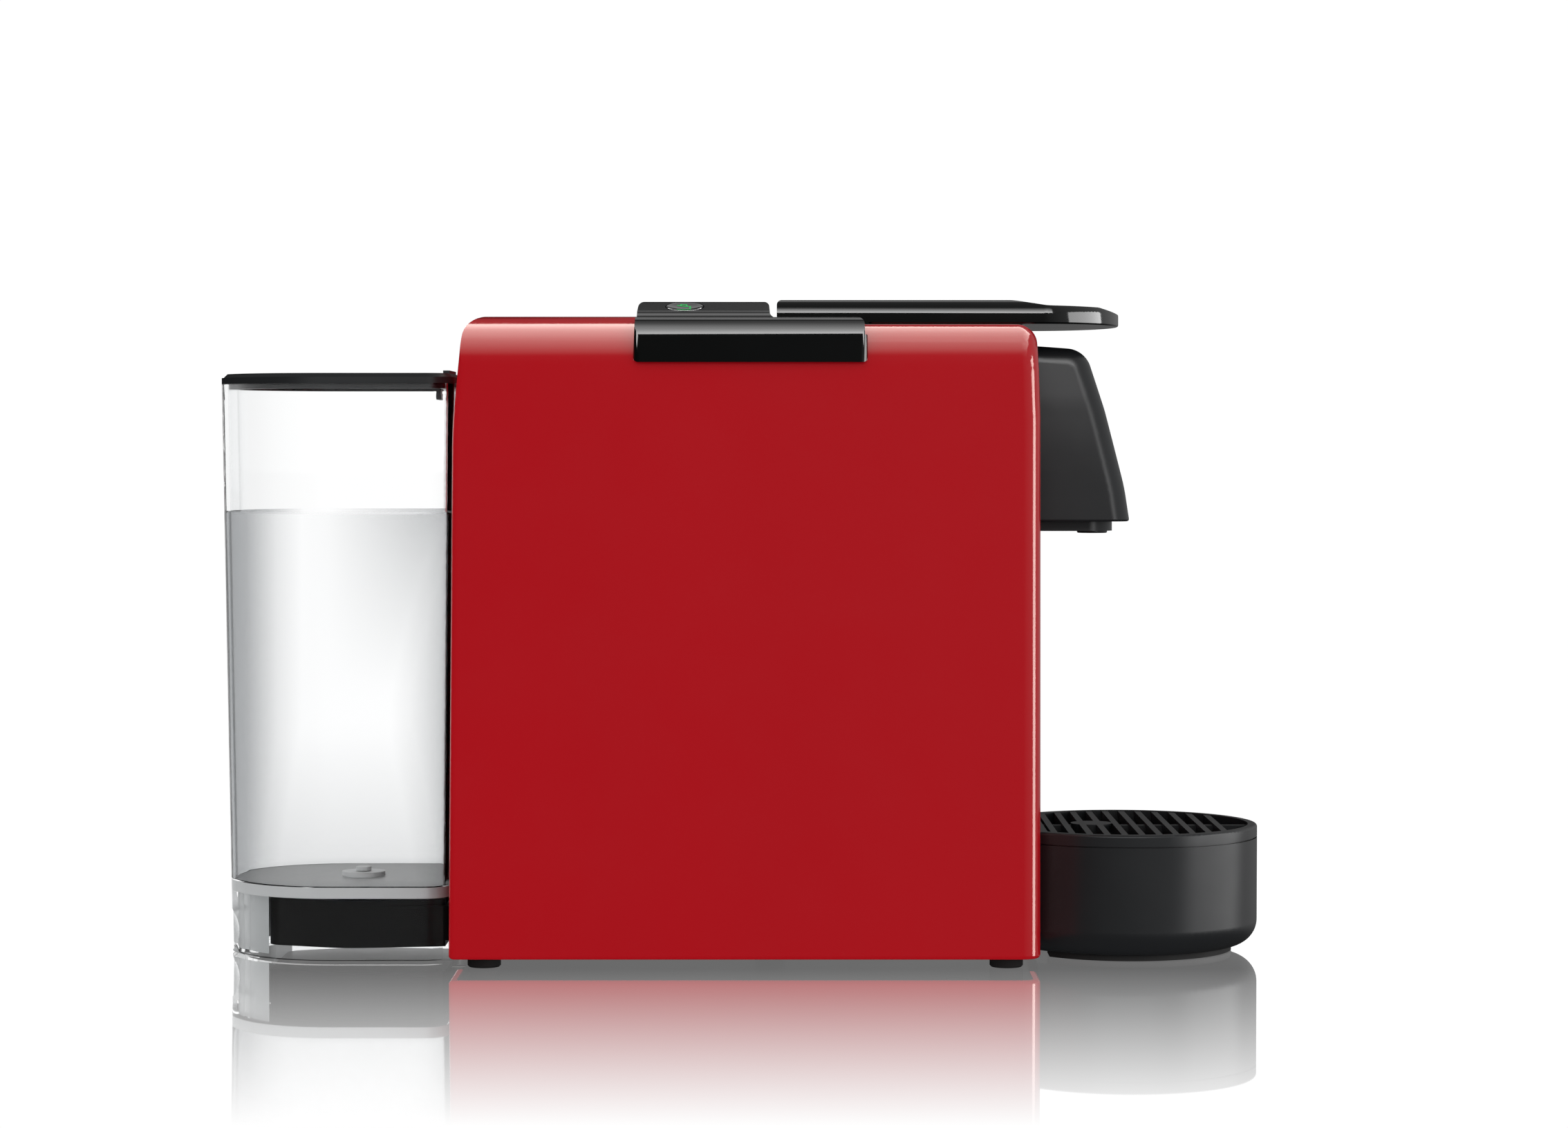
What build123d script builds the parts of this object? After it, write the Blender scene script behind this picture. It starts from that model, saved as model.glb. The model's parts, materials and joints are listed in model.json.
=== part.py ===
from build123d import *
import math
import os

# A compact capsule espresso machine. Millimetres. X points to the front (the
# cup side), Z up, and the origin is on the table under the middle of the machine.

os.makedirs("parts", exist_ok=True)

# Body shell
HALF_WIDTH = 53.5
WALL = 2.2
REAR_BOTTOM = -88.3
FRONT_BOTTOM = 91.2
BOTTOM = 3.0
TOP = 197.9
RECESS_TOP = 195.4
SHOULDER = 17.0
FRONT_EDGE = 5.5
REAR_EDGE = 2.0

# Saddle that wraps over the body and carries the two buttons
SADDLE_REAR = -32.2
SADDLE_FRONT = 8.8
ARM_FRONT = 38.5
SADDLE_HALF = 55.0
SADDLE_BOTTOM = 183.7
ARM_TOP = 197.4
SADDLE_TOP = 202.9
LOBE_HALF = 38.0
LOBE_FLAT_HALF = 25.5
LOBE_SHOULDER = 199.4
BUTTON_X = -17.1
BUTTON_Y = 32.2
BUTTON_RADIUS = 5.7
BUTTON_GAP = 0.3
DISH_RADIUS = 20.0
DISH_CENTRE = 19.2
BOARD_TOP = 191.6

# Lever, its pivot, and the cam that moves the brew carriage
LEVER_HALF = 38.0
LEVER_REAR = 11.1
LEVER_TOP = 203.1
LEVER_BOTTOM = 195.7
TIP_START = 92.5
TIP_LENGTH = 25.8
PIVOT_X = 34.0
PIVOT_Z = 193.5
PIVOT_RADIUS = 2.0
RUNNING_FIT = 0.08
LEVER_OPEN = math.radians(90)
CAM_DEPTH = 16.0
CAM_CLOSED = 31.5
STROKE = 28.0
CAM_PIN_RADIUS = 2.5
CAM_GAP = 0.4
CHEEK_INNER = 25.3
CHEEK_OUTER = 28.3

# Brew unit
BREW_Z = 150.0
CUP_RADIUS = 17.0
CUP_REAR = 55.0
CUP_FRONT = 82.0
FRAME_FLOOR = 130.8
FRAME_SIDE_IN = 39.0
FRAME_SIDE_OUT = 41.5
FRAME_REAR = 4.0
FRAME_FRONT = 88.0
DECK_BOTTOM = 190.9
DECK_TOP = 193.1
TUBE_RADIUS = 3.5

# Coffee outlet
OUTLET_HALF = 30.0
OUTLET_BOTTOM = 135.2
NOZZLE_X = 110.4
NOZZLE_BOTTOM = 131.1

# Drip tray and capsule container
TRAY_X = 120.5
TRAY_RADIUS = 42.0
TRAY_REAR = 92.0
GRID_BOTTOM = 35.6
GRID_TOP = 39.6
GRID_INNER = 39.1
BAR_PITCH = 5.3
FOOT_RING = 34.0
CONTAINER_TOP = 130.0
CONTAINER_HALF = 30.0

# Water tank
TANK_REAR_TOP = -162.4
TANK_REAR_BOTTOM = -159.8
TANK_FRONT_TOP = -88.0
TANK_FRONT_BOTTOM = -90.1
TANK_HALF = 37.5
TANK_TOP = 177.7
TANK_BOTTOM = 0.5
TANK_WALL = 2.2
TANK_FLOOR = 22.9
LID_TOP = 180.8
VALVE_X = -119.4


def save(shape, node):
    """Writes one node."""
    export_step(shape, f"parts/{node}.step")


def block(x, y, z):
    """A box between pairs of limits."""
    sizes = [high - low for low, high in (x, y, z)]
    middle = [(high + low) / 2 for low, high in (x, y, z)]
    return Pos(*middle) * Box(*sizes)


def both_sides(shape):
    """The shape and its mirror image on the other side of the machine."""
    return shape + mirror(shape, Plane.XZ)


def rod_z(x, y, z, radius):
    """A vertical cylinder between two heights."""
    return Pos(x, y, (z[0] + z[1]) / 2) * Cylinder(radius, z[1] - z[0])


def rod_x(x, y, z, radius):
    """A cylinder along the machine between two X values."""
    return Pos((x[0] + x[1]) / 2, y, z) * Rot(0, 90, 0) * Cylinder(radius, x[1] - x[0])


def rod_y(x, y, z, radius):
    """A cylinder across the machine between two Y values."""
    return Pos(x, (y[0] + y[1]) / 2, z) * Rot(90, 0, 0) * Cylinder(radius, y[1] - y[0])


def outline(corners, plane=Plane.XY):
    """A flat face through the corners; a third number rounds that corner."""
    face = make_face(Polyline(*[corner[:2] for corner in corners], close=True))
    for across, up, *radius in corners:
        if radius:
            face = fillet(face.vertices().sort_by_distance((across, up))[0], radius[0])
    return plane * face


def side_prism(corners, y):
    """A side outline in X and Z, as thick as the pair of Y limits."""
    plane = Plane((0, y[1], 0), x_dir=(1, 0, 0), z_dir=(0, -1, 0))
    return extrude(outline(corners, plane), y[1] - y[0])


def front_prism(corners, x):
    """A cross section in Y and Z, as long as the pair of X limits."""
    plane = Plane((x[0], 0, 0), x_dir=(0, 1, 0), z_dir=(1, 0, 0))
    return extrude(outline(corners, plane), x[1] - x[0])


def plan_prism(corners, z):
    """A plan outline in X and Y, as tall as the pair of Z limits."""
    plane = Plane((0, 0, z[0]))
    return extrude(outline(corners, plane), z[1] - z[0])


def pipe(points, radius, bore=0.0):
    """A round bar or hose that rounds every corner of its path."""
    bend = 3.2 * radius
    path = FilletPolyline(*points, radius=bend)
    start = Plane(origin=path @ 0, z_dir=path % 0)
    section = Circle(radius)
    if bore:
        section -= Circle(bore)
    return sweep(start * section, path=path)


def front_rim(core, front, top, step):
    """Edges round the front of the body and along both sides of its recessed top."""
    rim = []
    for edge in core.edges():
        a, b = edge @ 0, edge @ 1
        on_one_side = a.Y * b.Y > 0 and min(abs(a.Y), abs(b.Y)) > 40
        round_front = min(a.X, b.X) > front - 8
        along_top = max(abs(a.Z - top), abs(b.Z - top)) < 0.1 and min(a.X, b.X) > step - 0.5
        if on_one_side and (round_front or along_top):
            rim.append(edge)
    return rim


def body_core(inset):
    """The outer form of the body, moved inwards by the inset."""
    rear = REAR_BOTTOM + inset
    front = FRONT_BOTTOM - inset
    top = TOP - inset
    low = RECESS_TOP - inset
    bottom = BOTTOM - 10 if inset else BOTTOM
    step = SADDLE_REAR + 1.0 - inset
    half = HALF_WIDTH - inset
    form = side_prism(
        [
            (rear, bottom),
            (rear + 1.6, 165, 150),
            (rear + 4.9, top, 7 - inset),
            (step, top),
            (step, low),
            (front - 1.3, low, FRONT_EDGE + 0.8 - inset),
            (front - 0.3, 168, 150),
            (front, bottom),
        ],
        (-half, half),
    )
    rear_edges = form.edges().filter_by(
        lambda e: abs(e.center().Y) > half - 1
        and e.center().X < -80
        and bottom + 1 < e.center().Z < top - 0.5
    )
    form = fillet(rear_edges, REAR_EDGE - 0.6 * inset)
    section = front_prism(
        [
            (-half, bottom),
            (half, bottom),
            (half, top, SHOULDER - inset),
            (-half, top, SHOULDER - inset),
        ],
        (-100, 100),
    )
    core = form & section
    core = fillet(front_rim(core, front, low, step), FRONT_EDGE - inset)
    if not inset:
        core = fillet(core.edges().filter_by(lambda e: abs(e.center().Z - bottom) < 0.01), 1.2)
    return core


def saddle_form():
    """The outer form of the saddle before it is fitted to the body."""
    section = front_prism(
        [
            (-SADDLE_HALF, SADDLE_BOTTOM),
            (SADDLE_HALF, SADDLE_BOTTOM),
            (SADDLE_HALF, ARM_TOP, 6),
            (LOBE_HALF + 1.8, ARM_TOP, 2),
            (LOBE_HALF + 0.8, LOBE_SHOULDER, 2.2),
            (LOBE_FLAT_HALF, SADDLE_TOP, 12),
            (-LOBE_FLAT_HALF, SADDLE_TOP, 12),
            (-LOBE_HALF - 0.8, LOBE_SHOULDER, 2.2),
            (-LOBE_HALF - 1.8, ARM_TOP, 2),
            (-SADDLE_HALF, ARM_TOP, 6),
        ],
        (-60, 60),
    )
    side = side_prism(
        [
            (SADDLE_REAR, SADDLE_BOTTOM, 1.5),
            (ARM_FRONT, SADDLE_BOTTOM, 1.5),
            (ARM_FRONT, 192.0, 0.4),
            (ARM_FRONT - 0.8, 192.0),
            (ARM_FRONT - 1.0, ARM_TOP, 2.2),
            (SADDLE_FRONT, ARM_TOP, 2.5),
            (SADDLE_FRONT, SADDLE_TOP, 1.8),
            (SADDLE_REAR + 0.9, SADDLE_TOP, 1.8),
        ],
        (-60, 60),
    )
    plan = plan_prism(
        [
            (SADDLE_REAR, -SADDLE_HALF, 2),
            (ARM_FRONT, -SADDLE_HALF, 2),
            (ARM_FRONT, SADDLE_HALF, 2),
            (SADDLE_REAR, SADDLE_HALF, 2),
        ],
        (SADDLE_BOTTOM - 1, SADDLE_TOP + 1),
    )
    return section & side & plan


def make_shell():
    """Red body shell, open below, at the front and under saddle and lever."""
    shell = body_core(0) - body_core(WALL)
    front_opening = block((80, 100), (-31.6, 31.6), (0, 191.6))
    saddle_opening = block((-27, 40), (-42.5, 42.5), (180, 200))
    lever_opening = block((30, 86), (-37.6, 37.6), (180, 200))
    dock_opening = block((-95, -80), (-27, 27), (0, 17))
    inlet = rod_x((-95, -80), -42.0, 25.0, 4.6)
    return shell - front_opening - saddle_opening - lever_opening - dock_opening - inlet


def make_saddle():
    """Black saddle: a thin skin on the body with a hollow lobe for the buttons."""
    saddle = saddle_form() - body_core(0)
    between_arms = block((SADDLE_FRONT, 60), (-38.6, 38.6), (180, 210))
    hollow = block((-28, SADDLE_FRONT - 1.8), (-36, 36), (180, 198.4))
    saddle = saddle - between_arms - hollow
    for side in (-1, 1):
        saddle -= rod_z(BUTTON_X, side * BUTTON_Y, (180, 210), BUTTON_RADIUS + BUTTON_GAP)
    pocket = block((29.6, 37.2), (FRAME_SIDE_IN - 1.0, FRAME_SIDE_OUT), (190, 196.4))
    return saddle - both_sides(pocket)


def make_button(side):
    """One round button, flush with the sloping lobe, dished, on a stem over its switch."""
    y = side * BUTTON_Y
    cap = rod_z(BUTTON_X, y, (197.0, 210), BUTTON_RADIUS) & saddle_form()
    drop = SADDLE_TOP - LOBE_SHOULDER
    run = LOBE_HALF + 0.8 - LOBE_FLAT_HALF
    slope = math.atan2(drop, run)
    height = SADDLE_TOP - (BUTTON_Y - LOBE_FLAT_HALF) * drop / run
    out = side * DISH_CENTRE * math.sin(slope)
    dish = Pos(BUTTON_X, y + out, height + DISH_CENTRE * math.cos(slope)) * Sphere(DISH_RADIUS)
    stem = rod_z(BUTTON_X, y, (195.9, 197.5), 2.2)
    return cap - dish + stem


def make_board():
    """Control board under the saddle, on four posts of the chassis."""
    return block((-28, 2), (-38, 38), (190.0, BOARD_TOP))


def lever_form():
    """The lever's outer form: a flat plate, an elliptical tip and a thumb scoop."""
    straight = TIP_START - LEVER_REAR
    plan = Pos(LEVER_REAR + straight / 2, 0) * Rectangle(straight, 2 * LEVER_HALF)
    plan += Pos(TIP_START, 0) * Ellipse(TIP_LENGTH, LEVER_HALF)
    form = extrude(Plane((0, 0, LEVER_BOTTOM)) * plan, LEVER_TOP - LEVER_BOTTOM)
    for height, radius in ((LEVER_TOP, 4.4), (LEVER_BOTTOM, 0.6)):
        rim = form.edges().filter_by(
            lambda e: abs(e.center().Z - height) < 0.01 and e.center().X > LEVER_REAR + 1
        )
        form = fillet(rim, radius)
    side = side_prism(
        [
            (LEVER_REAR, LEVER_BOTTOM),
            (LEVER_REAR, LEVER_TOP, 1.6),
            (83.2, LEVER_TOP, 20),
            (93.8, 201.4, 20),
            (110.2, 201.1, 6),
            (118.3, 199.2),
            (120.0, 198.6),
            (120.0, LEVER_BOTTOM),
        ],
        (-60, 60),
    )
    return form & side


def make_lever_cover():
    """Gloss lever: a hollow cover with a solid thumb tip in front of the body."""
    half = LEVER_HALF
    hollow = block((LEVER_REAR + 2, 86.4), (-half + 2, half - 2), (180, LEVER_TOP - 2.2))
    bosses = both_sides(rod_y(PIVOT_X, (half - 2, half), PIVOT_Z, 5.2))
    webs = both_sides(block((PIVOT_X - 5.2, PIVOT_X + 5.2), (half - 2, half), (PIVOT_Z, 198)))
    cover = lever_form() - hollow + bosses + webs
    return cover - both_sides(rod_y(PIVOT_X, (20, 45), PIVOT_Z, PIVOT_RADIUS))


def cam_path():
    """Points of the cam slot's middle line, around the pivot, lever closed."""
    points = []
    steps = 12
    for i in range(steps + 1):
        turn = LEVER_OPEN * i / steps
        reach = CAM_CLOSED - STROKE * i / steps
        across = reach * math.cos(turn) - CAM_DEPTH * math.sin(turn)
        down = -reach * math.sin(turn) - CAM_DEPTH * math.cos(turn)
        points.append((PIVOT_X + across, PIVOT_Z + down))
    return points


def cam_band(half_width, y):
    """The band that a round pin sweeps along the cam's middle line."""
    points = cam_path()
    line = Spline(*points)
    face = trace(line, 2 * half_width)
    plane = Plane((0, y[1], 0), x_dir=(1, 0, 0), z_dir=(0, -1, 0))
    band = extrude(plane * face, y[1] - y[0])
    for across, up in (points[0], points[-1]):
        band += rod_y(across, y, up, half_width)
    return band


def make_cheeks():
    """Two cam plates under the lever cover."""
    y = (CHEEK_INNER, CHEEK_OUTER)
    ceiling = LEVER_TOP - 2.2
    plate = cam_band(CAM_PIN_RADIUS + CAM_GAP + 3.0, y)
    plate += rod_y(PIVOT_X, y, PIVOT_Z, 6.0)
    plate += side_prism(
        [
            (PIVOT_X - 17, PIVOT_Z - 3),
            (PIVOT_X - 2, PIVOT_Z - 22),
            (PIVOT_X + 8, PIVOT_Z - 22),
            (PIVOT_X + 33, PIVOT_Z - 16),
            (PIVOT_X + 30, ceiling),
            (PIVOT_X - 17, ceiling),
        ],
        y,
    )
    plate -= cam_band(CAM_PIN_RADIUS + CAM_GAP, y)
    plate -= rod_y(PIVOT_X, y, PIVOT_Z, PIVOT_RADIUS)
    return both_sides(plate)


def make_pivot_pins():
    """Two steel pivot pins fixed in the lever and turning in the brew frame."""
    return both_sides(rod_y(PIVOT_X, (CHEEK_INNER, FRAME_SIDE_OUT), PIVOT_Z, PIVOT_RADIUS))


def make_brew_frame():
    """Black frame that guides the carriage and holds the lever's pivots."""
    side = block((FRAME_REAR, FRAME_FRONT), (FRAME_SIDE_IN, FRAME_SIDE_OUT), (FRAME_FLOOR, 193.1))
    ear = block((30, 36.8), (FRAME_SIDE_IN, FRAME_SIDE_OUT), (193.0, 196.3))
    floor = block(
        (FRAME_REAR, FRAME_FRONT), (-FRAME_SIDE_OUT, FRAME_SIDE_OUT), (FRAME_FLOOR, 132.6)
    )
    drop = block((54.5, 82.5), (-19.4, 19.4), (120, 140))
    rear = block((FRAME_REAR, FRAME_REAR + 3), (-40, 40), (FRAME_FLOOR, 189))
    front = block((84.1, FRAME_FRONT), (-40, 40), (FRAME_FLOOR, DECK_TOP))
    deck = block((40, FRAME_FRONT), (-40, 40), (DECK_BOTTOM, DECK_TOP))
    chute = block((54.5, 83.4), (-20.2, 20.2), (180, 200))
    cheek_slot = block((30, 78.5), (CHEEK_INNER - 0.9, CHEEK_OUTER + 0.9), (180, 200))
    rail = block((24, 84.1), (20.2, 24.4), (132.6, 140.0))
    guide = block((79.6, 84.1), (18.9, 21.4), (140.0, DECK_BOTTOM))
    frame = floor - drop + rear + front + deck + both_sides(side + ear + rail + guide)
    inside = body_core(WALL) + block((80, FRAME_FRONT), (-31.3, 31.3), (FRAME_FLOOR, 191.0))
    inside += both_sides(block((30, 36.8), (FRAME_SIDE_IN, FRAME_SIDE_OUT), (190, 196.3)))
    frame = frame & inside
    frame = frame - chute - both_sides(cheek_slot)
    frame -= both_sides(rod_y(PIVOT_X, (38, 43), PIVOT_Z, PIVOT_RADIUS + RUNNING_FIT))
    frame -= rod_x((FRAME_REAR - 1, 10), 0, BREW_Z, 6.0)
    frame -= rod_x((83, 90), 0, 138.0, 4.0)
    return frame


def make_carriage():
    """Capsule cage that slides towards the brew plate, with two pin ears."""
    cup = rod_x((CUP_REAR, CUP_FRONT), 0, BREW_Z, CUP_RADIUS)
    bowl = Pos(CUP_REAR + 2.5, 0, BREW_Z) * Rot(0, 90, 0) * Cone(11.0, 14.8, 24.5, align=(
        Align.CENTER, Align.CENTER, Align.MIN))
    mouth = rod_x((CUP_FRONT - 2.0, CUP_FRONT + 1), 0, BREW_Z, 15.6)
    wing = block((57.0, 77.0), (12.0, 24.4), (140.3, 158.0))
    wing -= rod_x((50, 90), 0, BREW_Z, CUP_RADIUS - 1.0)
    middle = PIVOT_X + CAM_CLOSED
    height = PIVOT_Z - CAM_DEPTH
    ear = block((middle - 4.5, middle + 4.5), (19.4, 24.4), (150, height))
    ear += rod_y(middle, (19.4, 24.4), height, 4.5)
    ear -= rod_y(middle, (21.0, 30), height, CAM_PIN_RADIUS)
    carriage = cup + both_sides(wing + ear) - bowl - mouth
    return carriage - rod_x((CUP_REAR - 1, CUP_REAR + 4), 0, BREW_Z, TUBE_RADIUS)


def make_carriage_pins():
    """Two cam pins pressed into the carriage's ears."""
    x = PIVOT_X + CAM_CLOSED
    return both_sides(rod_y(x, (21.0, CHEEK_OUTER + 0.6), PIVOT_Z - CAM_DEPTH, CAM_PIN_RADIUS))


def make_injection_tube():
    """Steel tube that carries hot water to the moving capsule cage."""
    tube = rod_x((1.0, CUP_REAR + 2.5), 0, BREW_Z, TUBE_RADIUS)
    return tube - rod_x((0.0, CUP_REAR + 3), 0, BREW_Z, 2.0)


def make_piercing_blades():
    """Three small blades on the cage floor that open the capsule."""
    blades = Part()
    for i in range(3):
        foot = Pos(CUP_REAR + 2.5, 0, BREW_Z) * Rot(120 * i, 0, 0) * Pos(0, 0, 7.2)
        blades += foot * Rot(0, 90, 0) * Cone(1.7, 0.25, 5.5, align=(
            Align.CENTER, Align.CENTER, Align.MIN))
    return blades


def make_gland():
    """Fixed brass sleeve in which the injection tube slides."""
    sleeve = rod_x((-32, FRAME_REAR + 3), 0, BREW_Z, 6.0)
    collar = rod_x((FRAME_REAR - 5, FRAME_REAR), 0, BREW_Z, 9.0)
    bore = rod_x((-29.5, FRAME_REAR + 4), 0, BREW_Z, TUBE_RADIUS + RUNNING_FIT)
    return sleeve + collar - bore


def make_brew_plate():
    """Perforated steel plate that the capsule is pressed against."""
    plate = rod_x((82.6, 84.1), 0, BREW_Z, 17.2)
    for row in range(-4, 5):
        for column in range(-4, 5):
            y = row * 3.2
            z = BREW_Z + column * 3.2
            if math.hypot(y, z - BREW_Z) < 14:
                plate -= rod_x((82, 85), y, z, 0.7)
    return plate


def outlet_form(inset):
    """The coffee outlet head, crowned and soft-edged, moved inwards by the inset."""
    half = OUTLET_HALF - inset
    rear = 88.2
    top = 189.4 - inset
    bottom = OUTLET_BOTTOM - 1 if inset else OUTLET_BOTTOM
    side = side_prism(
        [
            (rear, bottom),
            (rear, top),
            (91.9 - inset, top - 0.1, 60),
            (106.4 - inset, top - 1.2, 8 - inset),
            (112.4 - inset, 169.4, 60),
            (118.4 - inset, 145.7, 60),
            (120.0 - inset, bottom),
        ],
        (-60, 60),
    )
    flank = [(half, bottom), (half - 0.2, 156, 250), (half - 1.5, 172, 120), (half - 3.8, top + 2)]
    section = front_prism(
        flank + [(-across, up, *rest) for across, up, *rest in reversed(flank)], (80, 130)
    )
    form = side & section
    rim = form.edges().filter_by(
        lambda e: abs(e.center().Y) > half - 5
        and e.center().X > rear + 0.1
        and e.center().Z > bottom + 0.1
        and not (e.center().Z < 180 and abs((e @ 0).Z - (e @ 1).Z) < 0.01)
    )
    form = fillet(rim, 6 - inset)
    if not inset:
        foot = form.edges().filter_by(
            lambda e: abs(e.center().Z - bottom) < 0.01 and e.center().X > rear + 0.1
        )
        form = fillet(foot, 0.7)
    return form


def make_outlet_cover():
    """Black outlet head with a flange that closes the body front above the container."""
    cover = outlet_form(0) - outlet_form(2.2)
    flange = block((FRAME_FRONT, 95), (-31.3, 31.3), (130.7, 191.2)) & body_core(0.15)
    window = block((80, 95), (-20, 20), (133.0, 180.0))
    return cover + (flange - outlet_form(2.2)) - window


def make_spout():
    """Inner outlet piece: a shallow tray under the head with the coffee channel."""
    tray = plan_prism(
        [
            (91.2, -25),
            (115.2, -25, 8),
            (115.2, 25, 8),
            (91.2, 25),
        ],
        (132.2, OUTLET_BOTTOM + 1.0),
    )
    channel = rod_x((FRAME_FRONT, 96), 0, 138.0, 4.0) + block((92, 112), (-4, 4), (134, 142.0))
    bore = rod_x((FRAME_FRONT - 1, 109), 0, 138.0, 2.4)
    well = rod_z(NOZZLE_X - 2, 0, (130, 138.5), 2.4)
    seat = rod_z(NOZZLE_X, 0, (130, 134.0), 4.0)
    return tray + channel - bore - well - seat


def make_nozzle():
    """Round coffee nozzle with a small lip."""
    lip = rod_z(NOZZLE_X, 0, (NOZZLE_BOTTOM, 132.2), 4.75)
    neck = rod_z(NOZZLE_X, 0, (132.2, 134.0), 4.0)
    return fillet((lip + neck).edges().sort_by(Axis.Z)[0], 0.4) - rod_z(NOZZLE_X, 0, (130, 135), 3.1)


def make_container():
    """Used capsule container whose front face closes the middle of the body front."""
    x = (41.0, 90.9)
    half = CONTAINER_HALF
    outer = block(x, (-half, half), (8.3, CONTAINER_TOP))
    outer = fillet(outer.edges().filter_by(Axis.Z).group_by(Axis.X)[0], 6)
    inner = block((x[0] + 2, x[1] - 2.2), (-half + 2, half - 2), (10.5, CONTAINER_TOP + 5))
    front = block((88.8, 90.9), (-31.0, 31.0), (8.3, CONTAINER_TOP))
    return outer - inner + front


def make_drip_base():
    """Round drip bowl, cut flat at the body, with a tongue under the container."""
    bowl = rod_z(TRAY_X, 0, (1.8, GRID_BOTTOM), TRAY_RADIUS)
    bowl = fillet(bowl.edges().sort_by(Axis.Z)[0], 7.9)
    hollow = rod_z(TRAY_X, 0, (5.0, GRID_BOTTOM + 1), TRAY_RADIUS - 2.2)
    hollow = fillet(hollow.edges().sort_by(Axis.Z)[0], 6)
    hollow -= block((0, TRAY_REAR + 2.2), (-60, 60), (0, 60))
    bowl = bowl - hollow - block((0, TRAY_REAR), (-60, 60), (-5, 60))
    tongue = block((41.0, TRAY_REAR + 1), (-28, 28), (6.3, 8.3))
    web = block((91.3, TRAY_REAR + 1), (-28, 28), (6.3, 20))
    return bowl + tongue + web


def make_drip_grid():
    """Round grid of the drip tray: rim with a fine seam under it, bars, splash disc."""
    rim = rod_z(TRAY_X, 0, (GRID_BOTTOM, GRID_TOP), TRAY_RADIUS)
    rim = fillet(rim.edges().sort_by(Axis.Z)[-1], 0.8)
    seam = rod_z(TRAY_X, 0, (0, GRID_BOTTOM + 0.4), TRAY_RADIUS + 1)
    rim -= seam - rod_z(TRAY_X, 0, (-1, 60), TRAY_RADIUS - 0.7)
    inside = rod_z(TRAY_X, 0, (0, 60), GRID_INNER)
    keep_front = block((TRAY_REAR + 2.6, 200), (-60, 60), (0, 60))
    grid = rim - (inside & keep_front) - block((0, TRAY_REAR), (-60, 60), (0, 60))
    bars = Part()
    for i in range(12):
        x = TRAY_X + (i - 5.5) * BAR_PITCH
        if x > TRAY_REAR + 3:
            bars += block((x - 1, x + 1), (-45, 45), (GRID_TOP - 3.0, GRID_TOP - 0.2))
    spine = block((TRAY_REAR, 170), (-1.2, 1.2), (GRID_TOP - 3.0, GRID_TOP - 0.9))
    disc = rod_z(NOZZLE_X, 0, (GRID_TOP - 3.0, GRID_TOP - 0.2), 6.5)
    return grid + ((bars + spine + disc) & inside & block((TRAY_REAR, 200), (-60, 60), (0, 60)))


def make_foot_ring():
    """Soft ring under the drip bowl."""
    ring = rod_z(TRAY_X, 0, (0, 1.8), FOOT_RING) - rod_z(TRAY_X, 0, (-1, 3), FOOT_RING - 6)
    return ring - block((0, 95.7), (-60, 60), (-5, 60))


def make_base_plate():
    """Black floor of the body, inside the lower edge of the shell."""
    plate = body_core(WALL) & block((-100, 100), (-60, 60), (3.4, 5.6))
    for x in (-60, -36, -12, 12, 36):
        rib = block((x - 0.8, x + 0.8), (-36, -22), (5.6, 9.0))
        plate += both_sides(rib)
    for x, y in screw_places():
        plate += rod_z(x, y, (5.6, 14.0), 4.2)
        plate -= rod_z(x, y, (0, 14.5), 1.7)
        plate -= rod_z(x, y, (0, 5.0), 3.4)
    return plate


def screw_places():
    """Where the six base screws sit."""
    return [(x, y) for x in (-62, 0, 66) for y in (-46, 46)]


def make_base_screws():
    """Six pan-head screws through the base plate."""
    screws = Part()
    for x, y in screw_places():
        screw = rod_z(x, y, (3.5, 5.0), 3.1) + rod_z(x, y, (5.0, 14.0), 1.7)
        screws += screw - block((x - 2, x + 2), (y - 0.4, y + 0.4), (3.0, 4.3))
    return screws


def make_feet():
    """Five round rubber feet under the base plate."""
    feet = Part()
    for x, y in ((-78, -45), (-78, 45), (81, -45), (81, 45), (9, 0)):
        radius = 4.7 if x == 9 else 5.1
        foot = rod_z(x, y, (0, 3.4), radius)
        feet += chamfer(foot.edges().sort_by(Axis.Z)[0], 0.5)
    return feet


def tank_section(z, inset):
    """Plan of the tank at a height, moved inwards by the inset."""
    share = (z - TANK_BOTTOM) / (TANK_TOP - TANK_BOTTOM)
    rear = TANK_REAR_BOTTOM + share * (TANK_REAR_TOP - TANK_REAR_BOTTOM) + inset
    front = TANK_FRONT_BOTTOM + share * (TANK_FRONT_TOP - TANK_FRONT_BOTTOM) - inset
    half = TANK_HALF - 0.8 * (1 - share) - inset
    corners = [
        (front, -half, 8 - inset),
        (front, half, 8 - inset),
        (rear + 14, half, 34 - inset),
        (rear, half - 24, 20 - inset),
        (rear, -half + 24, 20 - inset),
        (rear + 14, -half, 34 - inset),
    ]
    return outline(corners, Plane((0, 0, z)))


def tank_form(z, inset):
    """The tank's drafted form between two heights."""
    return loft([tank_section(z[0], inset), tank_section(z[1], inset)], ruled=True)


def make_tank():
    """Clear water tank with a floor above an open skirt."""
    tank = tank_form((TANK_BOTTOM, TANK_TOP), 0)
    tank -= tank_form((TANK_FLOOR, TANK_TOP + 2), TANK_WALL)
    tank -= tank_form((TANK_BOTTOM - 1, 19.5), TANK_WALL)
    notch = block((-100, -80), (-33.5, 33.5), (-1, 19.5))
    lip = Pos(-163.5, 0, 7.2) * Rot(90, 0, 0) * Cylinder(7.6, 28)
    backing = tank_form((TANK_BOTTOM, 19.5), 0.5) - tank_form((TANK_BOTTOM - 1, 20), 4.4)
    backing &= block((-165, -150), (-17, 17), (TANK_BOTTOM, 19.5))
    tank = tank + backing - lip - notch
    return tank - rod_z(VALVE_X, 0, (15, 26), 4.6)


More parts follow.
